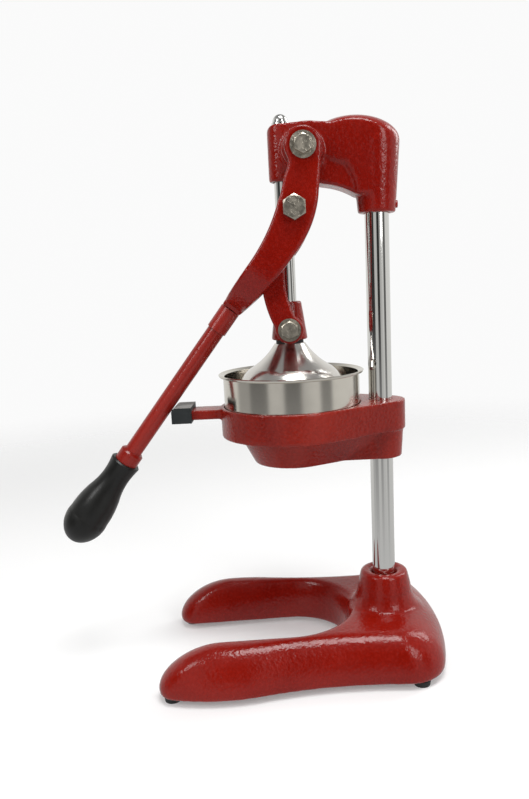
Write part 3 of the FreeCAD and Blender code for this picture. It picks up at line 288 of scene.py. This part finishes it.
def shade(piece, angle):
    """Smooth shading with edges kept sharp where the faces turn by more than `angle` degrees."""
    edit = bmesh.new()
    edit.from_mesh(piece.data)
    for edge in edit.edges:
        edge.smooth = edge.calc_face_angle(0.0) < math.radians(angle)
    for face in edit.faces:
        face.smooth = True
    edit.to_mesh(piece.data)
    edit.free()
    return piece


def copy_of(node, name):
    """A new piece with a CAD node's mesh, its split corners welded."""
    piece = bpy.data.objects.new(name, frame["nodes"][node].data.copy())
    bpy.context.scene.collection.objects.link(piece)
    edit = bmesh.new()
    edit.from_mesh(piece.data)
    bmesh.ops.remove_doubles(edit, verts=edit.verts, dist=WELD_GAP)
    edit.to_mesh(piece.data)
    edit.free()
    return piece


def cast(node, voxel, passes):
    """A sand-cast copy of a CAD node: remeshed, then its edges and inner corners softened."""
    piece = copy_of(node, node + "_cast")
    remesh = piece.modifiers.new("remesh", "REMESH")
    remesh.mode = "VOXEL"
    remesh.voxel_size = voxel
    soften = piece.modifiers.new("soften", "SMOOTH")
    soften.factor = 0.5
    soften.iterations = passes
    finished_mesh(piece)
    shade(piece, 180)
    body = frame["nodes"][node]["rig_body"]
    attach(piece, body)
    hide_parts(node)
    return piece


def broken_edges(node):
    """Keeps a CAD node and rounds its sharp edges by modifiers."""
    piece = frame["nodes"][node]
    weld = piece.modifiers.new("weld", "WELD")
    weld.merge_threshold = WELD_GAP
    bevel = piece.modifiers.new("edges", "BEVEL")
    bevel.width = EDGE_BREAK
    bevel.segments = 2
    bevel.limit_method = "ANGLE"
    bevel.angle_limit = math.radians(30)
    bevel.harden_normals = False


def strainer():
    """The domed strainer as one perforated sheet, inside the CAD strainer's skin."""
    low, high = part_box("strainer")
    centre, top, floor = middle("strainer"), high.z, low.z
    wall = 0.9 * MM
    rim = (high.x - low.x) / 2
    heel, slope, slope_foot = rim - 10 * MM, rim - 15 * MM, floor + 6 * MM
    cap, cap_share = 17 * MM, 0.7
    slope_steps, cap_steps = 11, 6
    around, spacing = 120, 3
    first_slots, last_slots = 5, 14

    outline = [(rim, floor + wall), (heel + 2 * MM, floor + wall), (heel, floor + wall)]
    outline += [(heel - 2.6 * MM, floor + 2.4 * MM), (slope, slope_foot)]
    cap_edge = Vector((cap * cap_share, top - cap * (1 - math.sqrt(1 - cap_share ** 2))))
    for step in range(1, slope_steps + 1):
        outline.append(tuple(Vector((slope, slope_foot)).lerp(cap_edge, step / slope_steps)))
    for step in range(1, cap_steps):
        lean = math.asin(cap_share) * (1 - step / cap_steps)
        outline.append((cap * math.sin(lean), top - cap * (1 - math.cos(lean))))

    sheet = bmesh.new()
    rings = []
    for reach, height in outline:
        ring = []
        for step in range(around):
            turn = 2 * math.pi * step / around
            place = (centre.x + reach * math.cos(turn), centre.y + reach * math.sin(turn), height)
            ring.append(sheet.verts.new(place))
        rings.append(ring)
    for level, (lower, upper) in enumerate(zip(rings, rings[1:])):
        slotted = first_slots <= level <= last_slots and level % 2 == 1
        for step in range(around):
            if slotted and step % spacing == 1:
                continue
            following = (step + 1) % around
            sheet.faces.new((lower[step], lower[following], upper[following], upper[step]))
    sheet.faces.new(rings[-1])
    mesh = bpy.data.meshes.new("strainer_sheet")
    sheet.to_mesh(mesh)
    sheet.free()
    piece = bpy.data.objects.new("strainer_sheet", mesh)
    bpy.context.scene.collection.objects.link(piece)
    thick = piece.modifiers.new("thickness", "SOLIDIFY")
    thick.thickness = wall
    thick.offset = -1.0
    finished_mesh(piece)
    shade(piece, 35)
    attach(piece, frame["nodes"]["strainer"]["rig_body"])
    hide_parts("strainer")
    return piece


# ---------------------------------------------------------------- pieces

SLOT_OF = {part["node"]: part["material_slot"] for part in frame["record"]["subparts"]}

# Each casting's voxel size, and how many passes soften it.
CASTINGS = {
    "base_casting": (1.4 * MM, 26),
    "head_casting": (1.0 * MM, 22),
    "arm_casting": (1.0 * MM, 6),
    "lever_yoke": (0.8 * MM, 34),
    "link_right": (0.8 * MM, 6),
    "link_left": (0.8 * MM, 6),
    "plunger_block": (0.8 * MM, 3),
}

for node, piece in frame["nodes"].items():
    paint(piece, SLOT_OF[node])
for node, (voxel, passes) in CASTINGS.items():
    piece = cast(node, voxel, passes)
    paint(piece, SLOT_OF[node])
sieve = strainer()
paint(sieve, SLOT_OF["strainer"])
for node in ("pin_bolts", "pivot_bolt", "block_bolts", "pin_nuts", "pivot_nut", "stop_pad"):
    broken_edges(node)


# ---------------------------------------------------------------- studio

def studio_floor():
    """A plain pale floor under the press, which fades into the pale backdrop further out."""
    reach, grey, glow = 3.0, 0.74, 0.22
    fade_start, fade_end = 0.45, 1.5
    mesh = bpy.data.meshes.new("floor")
    corners = [(-reach, -reach, 0.0), (reach, -reach, 0.0), (reach, reach, 0.0), (-reach, reach, 0.0)]
    mesh.from_pydata(corners, [], [(0, 1, 2, 3)])
    floor = bpy.data.objects.new("floor", mesh)
    bpy.context.scene.collection.objects.link(floor)
    shader = Shader("floor", Roughness=0.9, Base_Color=(grey, grey, grey, 1.0))
    shader.surface.inputs["Emission Color"].default_value = (1.0, 1.0, 1.0, 1.0)
    shader.surface.inputs["Emission Strength"].default_value = glow
    distance = shader.add("ShaderNodeVectorMath", operation="LENGTH")
    shader.join(shader.place, distance, "Vector")
    fade = shader.add("ShaderNodeMapRange", interpolation_type="SMOOTHSTEP")
    fade.inputs["From Min"].default_value = fade_start
    fade.inputs["From Max"].default_value = fade_end
    fade.inputs["To Min"].default_value = 1.0
    fade.inputs["To Max"].default_value = 0.0
    shader.join(distance.outputs["Value"], fade, "Value")
    shader.join(fade.outputs["Result"], shader.surface, "Alpha")
    mesh.materials.append(shader.material)
    # The chrome mirrors the room's bands all the way down instead of a white sheet.
    floor.visible_glossy = False


def area_light(name, place, aim, width, height, power):
    """A soft box of `power` watts that faces `aim`."""
    light = bpy.data.lights.new(name, "AREA")
    light.shape = "RECTANGLE"
    light.size = width
    light.size_y = height
    light.energy = power
    lamp = bpy.data.objects.new(name, light)
    bpy.context.scene.collection.objects.link(lamp)
    lamp.location = place
    lamp.rotation_mode = "QUATERNION"
    lamp.rotation_quaternion = (Vector(aim) - Vector(place)).to_track_quat("-Z", "Y")


# The room as the press mirrors it: bearing from +X towards +Y in degrees, and how bright it is there.
ROOM = [
    (-180, 0.85), (-104, 0.85), (-98, 0.3), (-76, 0.3), (-72, 0.035), (-43, 0.035), (-38, 0.6), (-16, 0.6),
    (-11, 0.03), (12, 0.03), (18, 0.5), (44, 0.75), (50, 0.12), (66, 0.12), (72, 0.8), (180, 0.85),
]
# Its greys above and below, and between which heights of a unit direction they fade in and out.
SKY_GREY, SKY_FADE = 0.3, (0.45, 0.8)
GROUND_GREY, GROUND_FADE = 0.62, (-0.4, -0.05)
# The plain backdrop that the camera sees instead.
BACKDROP_GREY = 0.96

# Soft boxes: where each stands from the press's heart, its width and height, and its power in watts.
SOFT_BOXES = {
    "top_box": ((0.35, 0.15, 1.2), 0.55, 0.55, 11),
    "front_box": ((0.75, -0.85, 0.75), 0.35, 0.6, 5),
    "side_box": ((1.0, 0.75, 0.55), 0.35, 0.7, 4),
    "rear_box": ((-0.5, 1.0, 0.7), 0.4, 0.8, 5),
}


def studio_light():
    """A room with dark bands between a grey sky and a pale ground, seen as plain white, and soft boxes."""
    world = bpy.data.worlds.new("studio")
    bpy.context.scene.world = world
    world.use_nodes = True
    tree = world.node_tree

    def add(kind, *sources, **values):
        node = tree.nodes.new(kind)
        for key, value in values.items():
            setattr(node, key, value)
        for index, source in enumerate(sources):
            if isinstance(source, bpy.types.NodeSocket):
                tree.links.new(source, node.inputs[index])
            else:
                node.inputs[index].default_value = source
        return node.outputs[0]

    def blend(share, first, second):
        mix = tree.nodes.new("ShaderNodeMix")
        mix.data_type = "RGBA"
        tree.links.new(share, mix.inputs[0])
        tree.links.new(first, mix.inputs[6])
        mix.inputs[7].default_value = (second, second, second, 1.0)
        return mix.outputs[2]

    direction = tree.nodes.new("ShaderNodeSeparateXYZ")
    tree.links.new(tree.nodes.new("ShaderNodeTexCoord").outputs["Generated"], direction.inputs[0])
    bearing = add("ShaderNodeMath", direction.outputs["Y"], direction.outputs["X"], operation="ARCTAN2")
    around = add("ShaderNodeMapRange", bearing, -math.pi, math.pi, 0.0, 1.0)
    bands = tree.nodes.new("ShaderNodeValToRGB")
    tree.links.new(around, bands.inputs[0])
    elements = bands.color_ramp.elements
    while len(elements) < len(ROOM):
        elements.new(0.5)
    for element, (degrees, grey) in zip(elements, ROOM):
        element.position = (degrees + 180) / 360
        element.color = (grey, grey, grey * 0.98, 1.0)

    lifted = add("ShaderNodeMapRange", direction.outputs["Z"], *SKY_FADE, 0.0, 1.0)
    sunk = add("ShaderNodeMapRange", direction.outputs["Z"], *GROUND_FADE, 1.0, 0.0)
    room = blend(lifted, bands.outputs["Color"], SKY_GREY)
    room = blend(sunk, room, GROUND_GREY)
    seen = tree.nodes.new("ShaderNodeLightPath").outputs["Is Camera Ray"]
    tree.links.new(blend(seen, room, BACKDROP_GREY), tree.nodes["Background"].inputs["Color"])

    heart = Vector((0.0, 0.0, 0.22))
    for name, (offset, width, height, power) in SOFT_BOXES.items():
        area_light(name, heart + Vector(offset), heart, width, height, power)


def camera():
    """Stands on the bolt-head side of the press, slightly above it, and looks across it; in radians."""
    yaw, pitch, roll = 0.037, 0.189, 0.039
    stand_off, ahead_of_column, eye_height = 0.58348, 0.07986, 0.32802
    forward = Vector((-math.cos(pitch) * math.cos(yaw), math.cos(pitch) * math.sin(yaw), -math.sin(pitch)))
    level = Vector((math.sin(yaw), math.cos(yaw), 0.0))
    upright = level.cross(forward)
    right = math.cos(roll) * level - math.sin(roll) * upright
    up = math.sin(roll) * level + math.cos(roll) * upright
    data = bpy.data.cameras.new("camera")
    data.lens = 31.11
    data.sensor_width = 36.0
    data.shift_x = -0.0612
    data.shift_y = 0.0222
    eye = bpy.data.objects.new("camera", data)
    bpy.context.scene.collection.objects.link(eye)
    place = Vector((stand_off, COLUMN.y - ahead_of_column, eye_height))
    turn = Matrix((right, up, -forward)).transposed().to_4x4()
    eye.matrix_world = Matrix.Translation(place) @ turn
    bpy.context.scene.camera = eye


studio_floor()
studio_light()
camera()
bpy.context.scene.view_settings.view_transform = "Standard"
